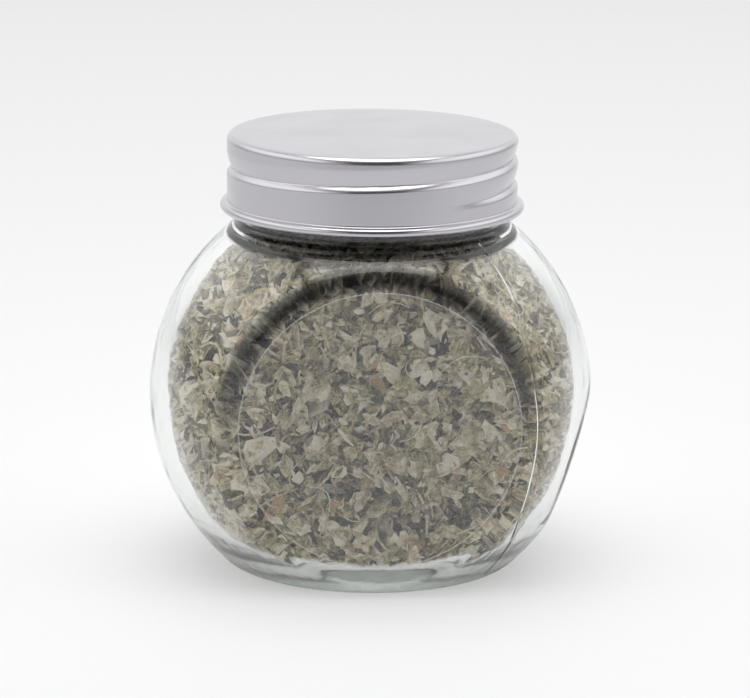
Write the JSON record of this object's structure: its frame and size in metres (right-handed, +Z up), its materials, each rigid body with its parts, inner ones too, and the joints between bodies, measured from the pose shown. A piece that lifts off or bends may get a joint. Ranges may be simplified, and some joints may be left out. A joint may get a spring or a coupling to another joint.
{
  "type": "jar of dried parsley flakes",
  "caption": "Squat globe jar of clear glass with a flat round front panel, filled with dried herb flakes and closed by a screw lid; stores and pours a dry herb.",
  "frame": {"origin": "middle of the bounding box seen from above, on the plane the jar stands on; the jar's own axis is 6.75 mm behind the front side's middle, at x 0, y -0.00675 m", "axes": "+Z up along the jar's axis; the flat round panel with the label faces -Y; +X is to the right of someone looking at the panel"},
  "size_m": [0.0998, 0.0864, 0.0977],
  "materials": {
    "clear_glass": "smooth clear pressed glass, faintly green where thick",
    "aluminium_lid": "plain satin aluminium sheet",
    "lid_liner": "off-white soft sealing disc",
    "dried_parsley": "dry crinkled olive-grey leaf flakes with straw-coloured stem bits",
    "clear_film": "clear self-adhesive film, slightly hazy"
  },
  "bodies": {
    "jar": {"glass_jar": "clear_glass", "parsley_flakes": "dried_parsley", "panel_label": "clear_film"},
    "liner": {"lid_liner": "lid_liner"},
    "lid": {"screw_lid": "aluminium_lid"}
  },
  "joints": [
    {"name": "lid_rise", "type": "slide", "parent": "jar", "child": "liner", "axis": [0, 0, 1], "range_m": [0, 0.00554]},
    {"name": "lid_turn", "type": "hinge", "parent": "liner", "child": "lid", "pos_m": [0, -0.00675, 0.089], "axis": [0, 0, 1], "range_deg": [0, 360]}
  ],
  "couplings": [
    {"joint": "lid_rise", "follows": "lid_turn", "m_per_rad": 0.00088172}
  ]
}
